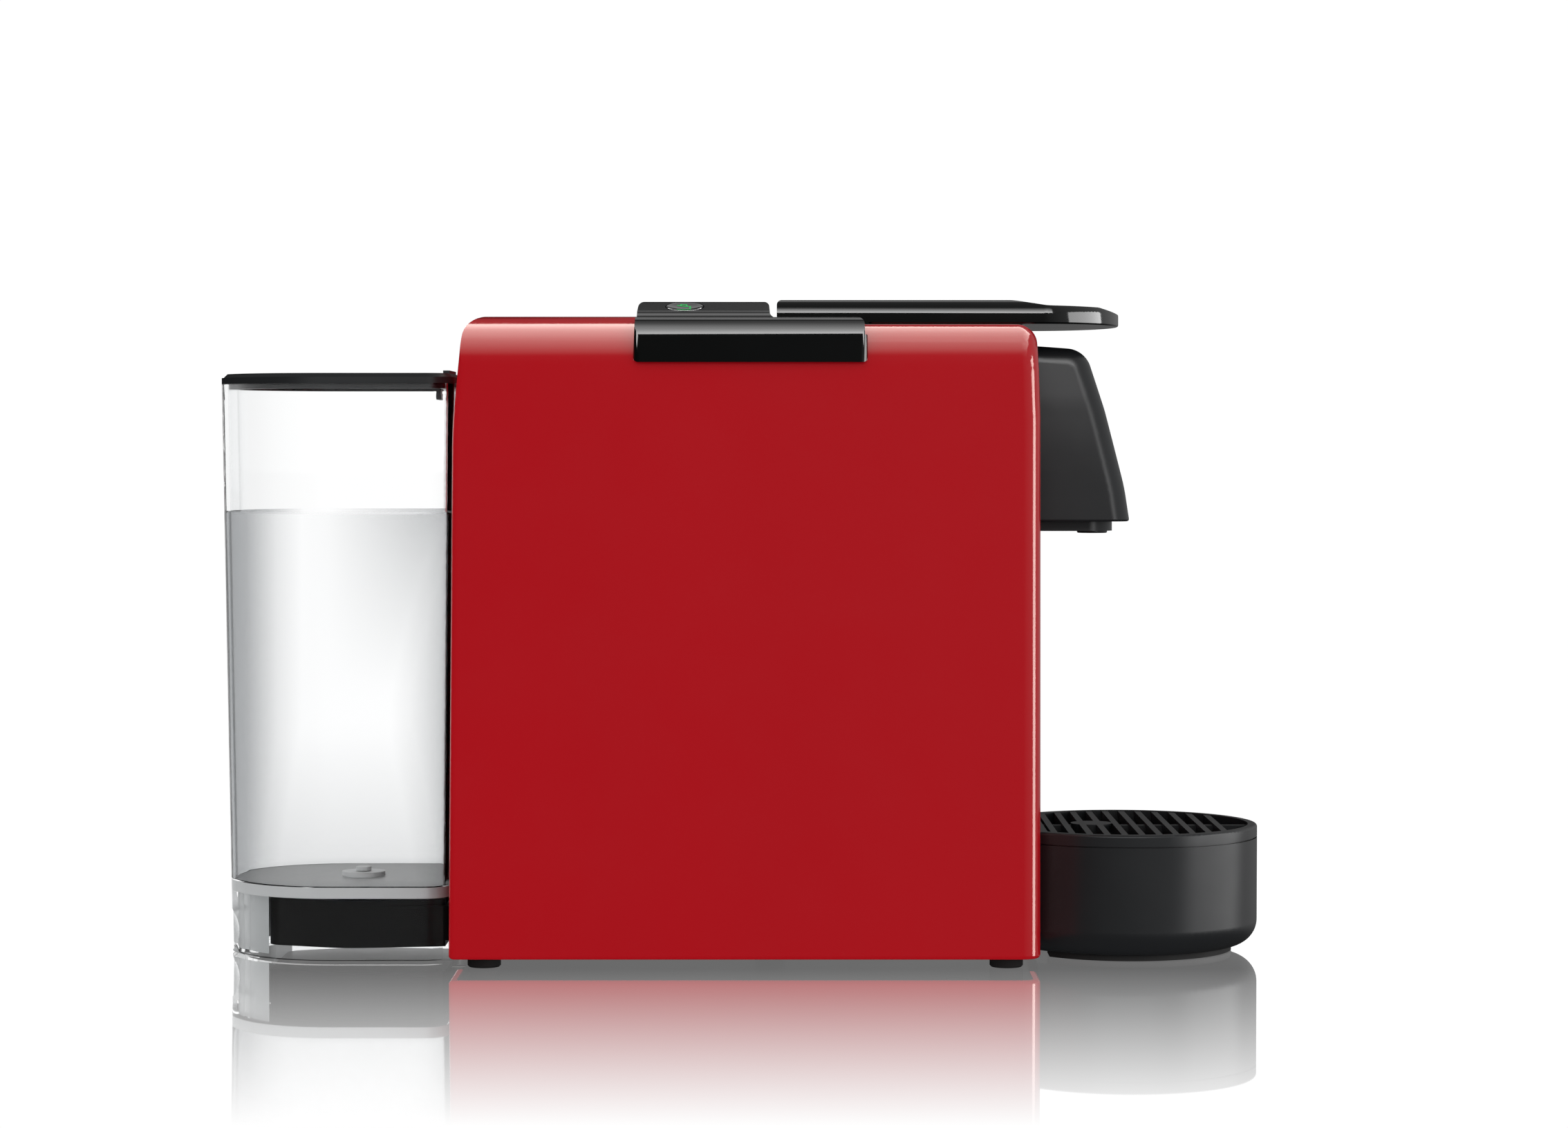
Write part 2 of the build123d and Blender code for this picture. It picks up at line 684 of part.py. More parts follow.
def make_tank_lid():
    """Slightly crowned dark lid that hinges at the body side of the tank."""
    rim = extrude(tank_section(TANK_TOP, 0), 1.9)
    crown = Pos(0, 0, 1.9) * extrude(tank_section(TANK_TOP, 0.5), LID_TOP - TANK_TOP - 1.9, taper=45)
    tab = block((-95, -93), (-12, 12), (172.9, TANK_TOP))
    ridge = block((-93, -91), (-12, 12), (LID_TOP - 1.0, 182.0))
    plug = extrude(tank_section(TANK_TOP, TANK_WALL + 0.5), -1.6)
    plug -= extrude(tank_section(TANK_TOP, TANK_WALL + 2.3), -1.7)
    return rim + crown + tab + ridge + plug


def make_tank_valve():
    """Valve body through the tank floor."""
    valve = rod_z(VALVE_X, 0, (16.5, 19.5), 9.0)
    valve += rod_z(VALVE_X, 0, (19.5, TANK_FLOOR), 4.6)
    valve += rod_z(VALVE_X, 0, (TANK_FLOOR, 24.3), 6.7)
    for turn in range(6):
        slot = Pos(VALVE_X, 0, 0) * Rot(0, 0, 60 * turn) * block((2.6, 4.0), (-0.8, 0.8), (10, 30))
        valve -= slot
    return valve - rod_z(VALVE_X, 0, (10, 30), 1.5 + RUNNING_FIT)


def make_valve_plunger():
    """Plunger that the dock pin lifts when the tank is set down."""
    return rod_z(VALVE_X, 0, (13.2, 24.6), 1.5) + rod_z(VALVE_X, 0, (24.6, 25.8), 2.4)


def make_tank_dock():
    """Black plinth behind the body on which the tank stands."""
    dock = plan_prism(
        [
            (-146.6, -22, 6),
            (-146.6, 22, 6),
            (-122, 31.6, 22),
            (-88.6, 26.6),
            (-82.4, 26.6),
            (-82.4, -26.6),
            (-88.6, -26.6),
            (-122, -31.6, 22),
        ],
        (5.6, 16.4),
    )
    upper = plan_prism(
        [
            (-146.6, -22, 6),
            (-146.6, 22, 6),
            (-122, 31.6, 22),
            (-91.5, 26.6),
            (-91.5, -26.6),
            (-122, -31.6, 22),
        ],
        (3.7, 18.4),
    )
    dock = dock + upper
    dock -= rod_z(VALVE_X, 0, (12.0, 20), 9.6)
    dock -= rod_z(VALVE_X, 0, (6.0, 12.5), 4.8)
    return dock - block((VALVE_X, -80), (-2.7, 2.7), (0, 11.3))


def make_dock_inlet():
    """Brass inlet with the pin that opens the tank valve."""
    inlet = rod_z(VALVE_X, 0, (6.0, 12.0), 4.8)
    return inlet + rod_z(VALVE_X, 0, (12.0, 12.9), 1.2)


def make_dock_seal():
    """Soft ring around the inlet."""
    return rod_z(VALVE_X, 0, (12.0, 16.2), 8.4) - rod_z(VALVE_X, 0, (11, 17), 5.6)


def make_inlet_hose():
    """Hose from the dock to the flow meter."""
    return rod_x((VALVE_X + 4.8, -82), 0, 8.5, 2.6)


def make_flow_meter():
    """Round flow meter on the base plate."""
    meter = rod_z(-72, 0, (5.6, 15.0), 10.0) + rod_z(-72, 0, (15.0, 17.0), 4.0)
    return chamfer(meter.edges().group_by(Axis.Z)[0], 0.6)


def make_suction_hose():
    """Hose from the flow meter up to the pump."""
    return pipe([(-72, 0, 17), (-72, 0, 62), (-58, 0, 62)], 2.6)


def make_pump_body():
    """Plastic core of the vibration pump."""
    core = rod_x((-58, 10), 0, 62, 9.0)
    for x in (-52, 2):
        core += rod_x((x, x + 3), 0, 62, 11.5)
    return core


def make_pump_coil():
    """Square coil and its steel yoke around the pump core."""
    coil = block((-46, -6), (-21, 21), (42, 82))
    coil = fillet(coil.edges().filter_by(Axis.X), 4)
    window = both_sides(block((-40, -12), (17, 30), (48, 76)))
    return coil - window - rod_x((-50, 0), 0, 62, 9.0)


def make_pump_mounts():
    """Two rubber blocks between pump and base plate."""
    mounts = Part()
    for x in (-41, -11):
        mount = block((x - 5, x + 5), (-14, 14), (5.6, 42.0))
        mounts += mount - block((x - 6, x + 6), (-8, 8), (12, 36))
    return mounts


def make_safety_valve():
    """Brass over-pressure valve on the pump outlet."""
    valve = rod_x((10, 18), 0, 62, 6.5) + rod_z(14, 0, (67, 74), 3.2)
    return valve


def make_pressure_hose():
    """Hose from the pump outlet to the underside of the heater."""
    path = [(18, 0, 62), (29, 0, 62), (29, 0, 106), (-60, 0, 106), (-60, 0, 124.5)]
    return pipe(path, 2.4)


def make_thermoblock():
    """Cast aluminium heater block with cooling ribs on its sides."""
    heater = block((-78, -32), (-20, 20), (124.5, 172))
    for i in range(7):
        z = 130 + 6 * i
        heater += both_sides(block((-76, -34), (20, 24), (z, z + 2.4)))
    return heater


def make_thermostats():
    """Two round temperature switches on top of the heater."""
    group = Part()
    for x in (-66, -44):
        group += rod_z(x, 0, (172, 178), 7.0) + rod_z(x, 0, (178, 180), 4.5)
    return group


def make_chassis():
    """Inner frame: two side walls, a shelf under the heater, and board posts."""
    wall = block((-79, 88), (FRAME_SIDE_IN, FRAME_SIDE_OUT), (5.6, FRAME_FLOOR))
    for x in (-74, -33, 8, 50):
        wall -= block((x, x + 34), (30, 50), (18, 108))
    shelf = block((-79, 3.8), (-40, 40), (122, 124.5))
    shelf -= rod_z(-60, 0, (120, 126), 4.0)
    post = Part()
    for x in (-24, -2):
        post += rod_z(x, 35, (124.0, 190.0), 2.6)
    cross = block((-30, 3.8), (-40, 40), (124.5, 128))
    return shelf + cross + both_sides(wall + post)


def make_switches():
    """Two push switches on the control board."""
    switch = block((BUTTON_X - 3, BUTTON_X + 3), (BUTTON_Y - 3, BUTTON_Y + 3), (BOARD_TOP, 194.0))
    return both_sides(switch + rod_z(BUTTON_X, BUTTON_Y, (194.0, 194.6), 1.7))


def make_power_board():
    """Power board on stand-offs beside the chassis wall."""
    board = block((-70, 20), (43.0, 44.6), (20, 116))
    for x in (-73.5, 5.0):
        board += block((x + 4, x + 9), (FRAME_SIDE_OUT, 43.2), (109, 115))
    return board


def make_power_parts():
    """Relays, a capacitor and the mains filter on the power board."""
    parts = block((-62, -42), (44.6, 50.4), (86, 104))
    parts += block((-34, -14), (44.6, 50.4), (86, 104))
    parts += block((-60, -30), (44.6, 50.0), (30, 58))
    parts += rod_y(-6, (44.6, 50.6), 46, 8.0)
    return parts


def make_cable_gland():
    """Flush rubber gland for the mains lead in the back of the shell."""
    gland = rod_x((-88.0, -80.0), -42.0, 25.0, 4.6) + rod_x((-85.4, -83.4), -42.0, 25.0, 7.0)
    return gland - rod_x((-90, -78), -42.0, 25.0, 3.2)


SHAPES = {
    "outer_shell": make_shell,
    "base_plate": make_base_plate,
    "base_screws": make_base_screws,
    "feet": make_feet,
    "chassis": make_chassis,
    "saddle": make_saddle,
    "espresso_button": lambda: make_button(-1),
    "lungo_button": lambda: make_button(1),
    "control_board": make_board,
    "button_switches": make_switches,
    "power_board": make_power_board,
    "power_board_parts": make_power_parts,
    "lever_cover": make_lever_cover,
    "lever_cam_plates": make_cheeks,
    "pivot_pins": make_pivot_pins,
    "brew_frame": make_brew_frame,
    "brew_carriage": make_carriage,
    "carriage_pins": make_carriage_pins,
    "injection_tube": make_injection_tube,
    "piercing_blades": make_piercing_blades,
    "injection_gland": make_gland,
    "brew_plate": make_brew_plate,
    "outlet_cover": make_outlet_cover,
    "coffee_spout": make_spout,
    "nozzle": make_nozzle,
    "capsule_container": make_container,
    "drip_base": make_drip_base,
    "drip_grid": make_drip_grid,
    "tray_foot_ring": make_foot_ring,
    "water_tank": make_tank,
    "tank_lid": make_tank_lid,
    "tank_valve": make_tank_valve,
    "valve_plunger": make_valve_plunger,
    "tank_dock": make_tank_dock,
    "dock_inlet": make_dock_inlet,
    "dock_seal": make_dock_seal,
    "inlet_hose": make_inlet_hose,
    "flow_meter": make_flow_meter,
    "suction_hose": make_suction_hose,
    "pump_body": make_pump_body,
    "pump_coil": make_pump_coil,
    "pump_mounts": make_pump_mounts,
    "safety_valve": make_safety_valve,
    "pressure_hose": make_pressure_hose,
    "thermoblock": make_thermoblock,
    "thermostats": make_thermostats,
    "cable_gland": make_cable_gland,
}

for name, make in SHAPES.items():
    save(make(), name)
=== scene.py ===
import json
import math

import bmesh
import bpy
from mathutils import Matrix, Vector
from mathutils.bvhtree import BVHTree


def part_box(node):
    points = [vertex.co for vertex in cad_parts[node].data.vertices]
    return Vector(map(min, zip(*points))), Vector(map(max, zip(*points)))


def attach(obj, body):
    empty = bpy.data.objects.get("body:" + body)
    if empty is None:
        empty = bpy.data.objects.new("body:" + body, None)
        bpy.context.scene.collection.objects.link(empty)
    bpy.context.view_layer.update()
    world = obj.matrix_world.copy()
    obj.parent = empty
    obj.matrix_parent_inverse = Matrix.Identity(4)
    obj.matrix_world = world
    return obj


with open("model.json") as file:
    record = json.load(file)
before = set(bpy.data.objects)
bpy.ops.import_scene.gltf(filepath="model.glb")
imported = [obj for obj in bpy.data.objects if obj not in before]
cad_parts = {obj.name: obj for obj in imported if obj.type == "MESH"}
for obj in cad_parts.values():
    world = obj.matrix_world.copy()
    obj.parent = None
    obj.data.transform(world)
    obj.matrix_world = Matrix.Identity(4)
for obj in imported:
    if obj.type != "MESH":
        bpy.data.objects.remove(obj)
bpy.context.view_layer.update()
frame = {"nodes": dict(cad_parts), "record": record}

# ---------------------------------------------------------------- camera, metres
EYE_X = 0.0133
EYE_DISTANCE = 1.209
EYE_HEIGHT = 0.1587
EYE_TILT = math.radians(1.775)
LENS_MM = 88.05
SENSOR_MM = 36.0

# ---------------------------------------------------------------- sizes, metres
WATER_LEVEL = 0.1375
WATER_INTO_WALL = 0.00012
MENISCUS_RISE = 0.0007
MENISCUS_WIDTH = 0.0012
VALVE_FACE_RADIUS = 0.0068
VALVE_FACE_RISE = 0.0013
FLOOR_FACE_INSET = 0.0002
OUTLINE_INSET = 0.00025
BACKING_INSET = 0.0042
ICON_LINE = 0.0005
ICON_LIFT = 0.00006
WELD_DISTANCE = 1e-6
SHARP_ANGLE = math.radians(32)
SHINE_HALF_X = 0.16
SHINE_HALF_Y = 0.05
SHINE_FADE = 0.27

# ---------------------------------------------------------------- light, and what it falls on
PAPER_WHITE = 1.01
WARM = (1.0, 0.93, 0.86)
BUTTON_NODES = ("espresso_button", "lungo_button")
GLOSS_NODES = ("saddle", "lever_cover", *BUTTON_NODES)
HEAD_NODES = ("outlet_cover", "coffee_spout", "nozzle")
TRAY_NODES = ("capsule_container", "drip_base", "drip_grid", "tray_foot_ring", "tank_lid")
CLEAR_NODES = ("water_tank", "tank_valve")

# Nodes whose finish isn't the one of their material slot.
NODE_FINISH = {"tank_dock": "dock_black", "valve_plunger": "valve_face"}


def add_camera():
    """A long lens at the height of the body's upper third, tilted a little down at its side."""
    data = bpy.data.cameras.new("camera")
    data.sensor_width = SENSOR_MM
    data.lens = LENS_MM
    data.clip_start = 0.05
    data.clip_end = 60.0
    camera = bpy.data.objects.new("camera", data)
    bpy.context.scene.collection.objects.link(camera)
    camera.location = (EYE_X, -EYE_DISTANCE, EYE_HEIGHT)
    camera.rotation_euler = (math.radians(90) - EYE_TILT, 0, 0)
    bpy.context.scene.camera = camera


# ---------------------------------------------------------------- node helpers
class Shader:
    """A small helper that adds nodes to one material or world and links them."""

    def __init__(self, tree):
        self.tree = tree
        tree.nodes.clear()

    def add(self, kind, **settings):
        """Adds a node and sets its properties."""
        node = self.tree.nodes.new(kind)
        for key, value in settings.items():
            setattr(node, key, value)
        return node

    def link(self, source, target):
        self.tree.links.new(source, target)

    def set(self, node, name, value):
        """Sets an input to a number or colour, or links it when given a socket."""
        socket = node.inputs[name]
        if isinstance(value, bpy.types.NodeSocket):
            self.link(value, socket)
        else:
            socket.default_value = value

    def math(self, operation, first, second=0.0):
        """The result of one operation on numbers or sockets."""
        node = self.add("ShaderNodeMath", operation=operation)
        self.set(node, 0, first)
        self.set(node, 1, second)
        return node.outputs[0]

    def position(self):
        """Where a point lies in its object's own frame."""
        return self.add("ShaderNodeTexCoord").outputs["Object"]

    def noise(self, scale, detail=3.0, roughness=0.5, stretch=None):
        """Smooth noise over the object; stretch scales it along each axis."""
        node = self.add("ShaderNodeTexNoise")
        node.inputs["Scale"].default_value = scale
        node.inputs["Detail"].default_value = detail
        node.inputs["Roughness"].default_value = roughness
        place = self.position()
        if stretch:
            mapping = self.add("ShaderNodeMapping")
            mapping.inputs["Scale"].default_value = stretch
            self.link(place, mapping.inputs["Vector"])
            place = mapping.outputs["Vector"]
        self.link(place, node.inputs["Vector"])
        return node.outputs["Fac"]

    def remap(self, value, low, high, from_low=0.3, from_high=0.7):
        """The value moved from one range to another, and held at its ends."""
        node = self.add("ShaderNodeMapRange")
        for name, number in (
            ("From Min", from_low),
            ("From Max", from_high),
            ("To Min", low),
            ("To Max", high),
        ):
            node.inputs[name].default_value = number
        self.link(value, node.inputs["Value"])
        return node.outputs["Result"]

    def blend(self, factor, first, second):
        """A mix of two colours."""
        node = self.add("ShaderNodeMix", data_type="RGBA")
        self.set(node, "Factor", factor)
        node.inputs["A"].default_value = (*first, 1)
        node.inputs["B"].default_value = (*second, 1)
        return node.outputs["Result"]

    def bump(self, height, strength, distance):
        """A normal that follows a height, distance in metres."""
        node = self.add("ShaderNodeBump")
        node.inputs["Strength"].default_value = strength
        node.inputs["Distance"].default_value = distance
        self.link(height, node.inputs["Height"])
        return node.outputs["Normal"]


def new_material(name):
    """A material with one principled surface, and the helper that adds its nodes."""
    material = bpy.data.materials.new(name)
    material.use_nodes = True
    shader = Shader(material.node_tree)
    surface = shader.add("ShaderNodeBsdfPrincipled")
    output = shader.add("ShaderNodeOutputMaterial")
    shader.link(surface.outputs["BSDF"], output.inputs["Surface"])
    return material, shader, surface


def moulded_plastic(name, colour, shade, rough, grain, grain_depth, coat=0.0, spec=0.5):
    """Moulded plastic: colour with faint flow variation, uneven gloss, fine skin."""
    material, shader, surface = new_material(name)
    flow = shader.noise(9.0, 2.0, 0.5, stretch=(1, 1, 0.35))
    wipe = shader.noise(38.0, 4.0, 0.6)
    skin = shader.noise(grain, 2.0, 0.5)
    shader.set(surface, "Base Color", shader.blend(shader.remap(flow, 0, 1), colour, shade))
    shader.set(surface, "Roughness", shader.remap(wipe, rough[0], rough[1]))
    shader.set(surface, "Normal", shader.bump(skin, 0.5, grain_depth))
    surface.inputs["Specular IOR Level"].default_value = spec
    surface.inputs["Coat Weight"].default_value = coat
    surface.inputs["Coat Roughness"].default_value = 0.04
    return material


def metal(name, colour, shade, rough, stretch, grain=900.0, depth=2e-6):
    """Bare metal with its drawn, turned or cast grain."""
    material, shader, surface = new_material(name)
    grain_lines = shader.noise(grain, 3.0, 0.6, stretch=stretch)
    stain = shader.noise(60.0, 3.0, 0.5)
    shader.set(surface, "Base Color", shader.blend(shader.remap(stain, 0, 1), colour, shade))
    shader.set(surface, "Roughness", shader.remap(grain_lines, rough[0], rough[1]))
    shader.set(surface, "Normal", shader.bump(grain_lines, 0.6, depth))
    surface.inputs["Metallic"].default_value = 1.0
    return material


def circuit_board(name):
    """Green laminate with a paler grid of tracks under the solder mask."""
    material, shader, surface = new_material(name)
    tracks = shader.add("ShaderNodeTexBrick")
    tracks.inputs["Scale"].default_value = 140.0
    tracks.inputs["Mortar Size"].default_value = 0.06
    tracks.inputs["Color1"].default_value = (0.02, 0.12, 0.035, 1)
    tracks.inputs["Color2"].default_value = (0.025, 0.15, 0.05, 1)
    tracks.inputs["Mortar"].default_value = (0.06, 0.26, 0.08, 1)
    shader.link(shader.position(), tracks.inputs["Vector"])
    shader.link(tracks.outputs["Color"], surface.inputs["Base Color"])
    weave = shader.noise(700.0, 2.0)
    shader.set(surface, "Roughness", shader.remap(weave, 0.3, 0.45))
    shader.set(surface, "Normal", shader.bump(tracks.outputs["Fac"], 0.4, 3e-5))
    return material


def glow(name, colour, strength):
    """A small lit area, slightly uneven in its strength."""
    material, shader, surface = new_material(name)
    surface.inputs["Base Color"].default_value = (*colour, 1)
    surface.inputs["Roughness"].default_value = 0.3
    patchy = shader.noise(800.0, 1.0)
    shader.set(surface, "Emission Color", (*colour, 1))
    shader.set(surface, "Emission Strength", shader.remap(patchy, 0.85 * strength, strength))
    return material


def tank_plastic(name):
    """Clear moulded plastic with painted shade: greyer where it is seen edge-on, and greyer below the
    tank's floor.
    """
    material, shader, surface = new_material(name)
    split = shader.add("ShaderNodeSeparateXYZ")
    shader.link(shader.position(), split.inputs[0])
    floor_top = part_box("tank_valve")[1][2]
    below_floor = shader.remap(split.outputs["Z"], 1.0, 0.0, floor_top - 0.001, floor_top + 0.001)
    # Painted shade: the clear plastic's colour turns grey where its wall is seen edge-on.
    facing = shader.add("ShaderNodeLayerWeight")
    facing.inputs["Blend"].default_value = 0.35
    edge = shader.math("MULTIPLY", facing.outputs["Facing"], 0.55)
    shade = shader.math("MAXIMUM", edge, shader.math("MULTIPLY", below_floor, 0.25))
    drift = shader.noise(14.0, 2.0, 0.4, stretch=(1, 1, 0.3))
    shader.set(surface, "Base Color", shader.blend(shade, (0.995, 0.997, 0.997), (0.60, 0.62, 0.63)))
    shader.set(surface, "Roughness", shader.remap(drift, 0.0, 0.006))
    surface.inputs["Transmission Weight"].default_value = 1.0
    surface.inputs["IOR"].default_value = 1.12
    return material


def still_water(name):
    """Water with painted shade: grey along both sides, clearest in the middle, pale grey near the
    floor.
    """
    material, shader, surface = new_material(name)
    split = shader.add("ShaderNodeSeparateXYZ")
    shader.link(shader.position(), split.inputs[0])
    low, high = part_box("water_tank")
    width = high[0] - low[0]
    across, up = split.outputs["X"], split.outputs["Z"]
    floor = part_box("tank_valve")[1][2]
    # Painted shade, laid into the water's tint by place: grey at the rear end, grey at the end by the
    # body and further across in its upper half, and pale grey near the floor.
    rear = shader.remap(across, 1.0, 0.0, low[0] + 0.07 * width, low[0] + 0.27 * width)
    side_top = shader.remap(across, 0.0, 0.95, low[0] + 0.38 * width, high[0])
    side_all = shader.remap(across, 0.0, 1.0, low[0] + 0.74 * width, high[0])
    near_top = shader.remap(up, 0.0, 1.0, 0.5 * (floor + WATER_LEVEL), WATER_LEVEL)
    near_floor = shader.remap(up, 0.40, 0.0, floor, floor + 0.045)
    side = shader.math("MAXIMUM", side_all, shader.math("MULTIPLY", side_top, near_top))
    shade = shader.math("MAXIMUM", shader.math("MAXIMUM", rear, side), near_floor)
    shader.set(surface, "Base Color", shader.blend(shade, (0.99, 0.992, 0.995), (0.40, 0.41, 0.42)))
    ripple = shader.noise(60.0, 1.0)
    shader.set(surface, "Roughness", shader.remap(ripple, 0.0, 0.004))
    surface.inputs["Transmission Weight"].default_value = 1.0
    surface.inputs["IOR"].default_value = 1.04
    return material


def floor_shade_sheet(name):
    """A grey sheet of painted shade standing for the tank's thick clear moulded floor, with faint
    flow marks.
    """
    material, shader, surface = new_material(name)
    flow = shader.noise(25.0, 2.0, 0.5)
    shader.set(
        surface, "Base Color",
        shader.blend(shader.remap(flow, 0, 1), (0.40, 0.41, 0.41), (0.46, 0.47, 0.47)))
    skin = shader.noise(900.0, 2.0)
    shader.set(surface, "Roughness", shader.remap(skin, 0.35, 0.45))
    shader.set(surface, "Normal", shader.bump(skin, 0.4, 5e-6))
    return material


def make_materials():
    """One finish for each material slot of the record, and those of the scene's own pieces."""
    return {
        "red_plastic": moulded_plastic(
            "red_gloss", (0.560, 0.0060, 0.0130), (0.535, 0.0056, 0.0122),
            (0.10, 0.13), 1400.0, 1.2e-6),
        "gloss_black": moulded_plastic(
            "black_gloss", (0.0030, 0.0034, 0.0034), (0.0026, 0.0029, 0.0029),
            (0.07, 0.10), 1500.0, 1.5e-6),
        "black_plastic": moulded_plastic(
            "black_satin", (0.018, 0.0195, 0.0215), (0.0155, 0.017, 0.019),
            (0.30, 0.36), 2600.0, 3.0e-6),
        "dark_plastic": moulded_plastic(
            "dark_matte", (0.020, 0.020, 0.021), (0.016, 0.016, 0.017),
            (0.48, 0.58), 2200.0, 1.2e-5),
        "part_plastic": moulded_plastic(
            "component_plastic", (0.03, 0.06, 0.16), (0.05, 0.05, 0.06),
            (0.4, 0.5), 1800.0, 6.0e-6),
        "white_plastic": moulded_plastic(
            "natural_plastic", (0.68, 0.67, 0.62), (0.60, 0.59, 0.54),
            (0.4, 0.5), 1800.0, 6.0e-6),
        "soft_rubber": moulded_plastic(
            "rubber_black", (0.010, 0.010, 0.010), (0.016, 0.015, 0.015),
            (0.62, 0.75), 1700.0, 2.0e-5),
        "hose_silicone": moulded_plastic(
            "silicone_hose", (0.62, 0.62, 0.58), (0.54, 0.54, 0.50),
            (0.35, 0.45), 1500.0, 6.0e-6),
        "board_green": circuit_board("laminate_green"),
        "zinc_steel": metal(
            "zinc_plate", (0.50, 0.51, 0.53), (0.42, 0.43, 0.44), (0.28, 0.42), (1, 1, 1), 500.0),
        "steel": metal(
            "stainless", (0.58, 0.57, 0.56), (0.52, 0.51, 0.50), (0.20, 0.32), (0.05, 1, 1)),
        "brass": metal(
            "turned_brass", (0.69, 0.47, 0.20), (0.60, 0.40, 0.17), (0.22, 0.34), (1, 0.1, 0.1)),
        "cast_aluminium": metal(
            "cast_aluminium", (0.55, 0.56, 0.57), (0.45, 0.46, 0.47), (0.45, 0.62),
            (1, 1, 1), 1300.0, 4e-5),
        "clear_plastic": tank_plastic("tank_plastic"),
        "dock_black": moulded_plastic(
            "dock_black", (0.0030, 0.0031, 0.0032), (0.0026, 0.0027, 0.0028),
            (0.30, 0.36), 2600.0, 3.0e-6, spec=0.08),
        "water": still_water("water"),
        "floor_shade": floor_shade_sheet("floor_shade"),
        "floor_edge": moulded_plastic(
            "floor_edge", (0.56, 0.57, 0.575), (0.52, 0.53, 0.535), (0.20, 0.26), 1800.0, 4.0e-6),
        "backing": moulded_plastic(
            "backing", (0.50, 0.515, 0.52), (0.42, 0.435, 0.44), (0.25, 0.35), 1800.0, 4.0e-6),
        "valve_face": moulded_plastic(
            "valve_face", (0.74, 0.75, 0.75), (0.70, 0.71, 0.71), (0.40, 0.50), 1800.0, 6.0e-6),
        "icon_green": glow("icon_green", (0.03, 0.42, 0.10), 0.6),
    }


def paint_nodes(materials):
    """Gives every CAD node its finish and smooth shading across its curved faces."""
    for entry in frame["record"]["subparts"]:
        node = frame["nodes"][entry["node"]]
        node.data.materials.clear()
        finish = NODE_FINISH.get(entry["node"], entry["material_slot"])
        node.data.materials.append(materials[finish])
        node.data.polygons.foreach_set("use_smooth", [True] * len(node.data.polygons))
        weld = node.modifiers.new("weld", "WELD")
        weld.merge_threshold = WELD_DISTANCE
        split = node.modifiers.new("sharp_edges", "EDGE_SPLIT")
        split.split_angle = SHARP_ANGLE
        split.use_edge_sharp = False
        even = node.modifiers.new("even_normals", "WEIGHTED_NORMAL")
        even.mode = "FACE_AREA"
        even.weight = 60
        even.keep_sharp = True


# ---------------------------------------------------------------- visual pieces
def add_piece(name, mesh, body, material):
    """Adds a visual piece that rides on a body and belongs to a material slot."""
    piece = bpy.data.objects.new(name, mesh)
    bpy.context.scene.collection.objects.link(piece)
    piece.data.materials.append(material)
    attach(piece, body)
    return piece


def level_loops(node, height):
    """The closed outlines of a CAD node at one height, longest first."""
    form = bmesh.new()
    form.from_mesh(frame["nodes"][node].data)
    bmesh.ops.remove_doubles(form, verts=form.verts, dist=WELD_DISTANCE)
    everything = form.verts[:] + form.edges[:] + form.faces[:]
    cut = bmesh.ops.bisect_plane(
        form, geom=everything, dist=1e-7, plane_co=(0, 0, height), plane_no=(0, 0, 1)
    )["geom_cut"]
    edges = {e for e in cut if isinstance(e, bmesh.types.BMEdge)}
    loops = []
    while edges:
        edge = edges.pop()
        first, last = edge.verts
        loop = [first.co.copy(), last.co.copy()]
        while True:
            following = [e for e in last.link_edges if e in edges]
            if not following:
                break
            edges.discard(following[0])
            last = following[0].other_vert(last)
            loop.append(last.co.copy())
        loops.append(loop[:-1])
    form.free()
    return sorted(loops, key=len_of_loop, reverse=True)


def len_of_loop(loop):
    """The length of a closed outline."""
    return sum((loop[i] - loop[i - 1]).length for i in range(len(loop)))


def evenly(loop, count):
    """The loop as count points at even spacing, from where it crosses Y = 0 by the body."""
    middle = sum(loop, Vector()) / len(loop)
    total = len_of_loop(loop)
    turn = sum(
        (loop[i - 1] - middle).cross(loop[i] - middle).z for i in range(len(loop))
    )
    if turn < 0:
        loop = loop[::-1]
    for i in range(len(loop)):
        before, after = loop[i - 1], loop[i]
        if before.x > middle.x and before.y < 0 <= after.y:
            start = before.lerp(after, -before.y / (after.y - before.y))
            loop = [start] + loop[i:] + loop[:i]
            break
    points = []
    walked, target = 0.0, 0.0
    for i in range(len(loop)):
        here, there = loop[i], loop[(i + 1) % len(loop)]
        step = (there - here).length
        while target <= walked + step and len(points) < count:
            share = (target - walked) / step if step else 0.0
            points.append(here.lerp(there, share))
            target += total / count
        walked += step
    return points


def add_water(materials):
    """Water that fills the tank from its floor to the level, with its curved edge."""
    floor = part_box("tank_valve")[1][2] - 0.0014
    centre_x = 0.5 * (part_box("water_tank")[0][0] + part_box("water_tank")[1][0])
    form = bmesh.new()
    rings = []
    levels = [
        (floor, WATER_INTO_WALL),
        (floor + 0.004, WATER_INTO_WALL),
        (WATER_LEVEL - 0.0003, WATER_INTO_WALL),
        (WATER_LEVEL + MENISCUS_RISE, WATER_INTO_WALL),
        (WATER_LEVEL, -MENISCUS_WIDTH),
    ]
    for height, push in levels:
        inner = level_loops("water_tank", min(max(height, floor + 0.0004), WATER_LEVEL))[1]
        ring = []
        for point in evenly(inner, 128):
            out = Vector((point.x - centre_x, point.y, 0)).normalized() * push
            ring.append(form.verts.new((point.x + out.x, point.y + out.y, height)))
        rings.append(ring)
    for lower, upper in zip(rings, rings[1:]):
        for i in range(len(lower)):
            form.faces.new((lower[i - 1], lower[i], upper[i], upper[i - 1]))
    form.faces.new(rings[0][::-1])
    form.faces.new(rings[-1])
    bmesh.ops.recalc_face_normals(form, faces=form.faces)
    mesh = bpy.data.meshes.new("water")
    form.to_mesh(mesh)
    form.free()
    for face in mesh.polygons:
        face.use_smooth = len(face.vertices) == 4
    return add_piece("water", mesh, "tank", materials["water"])


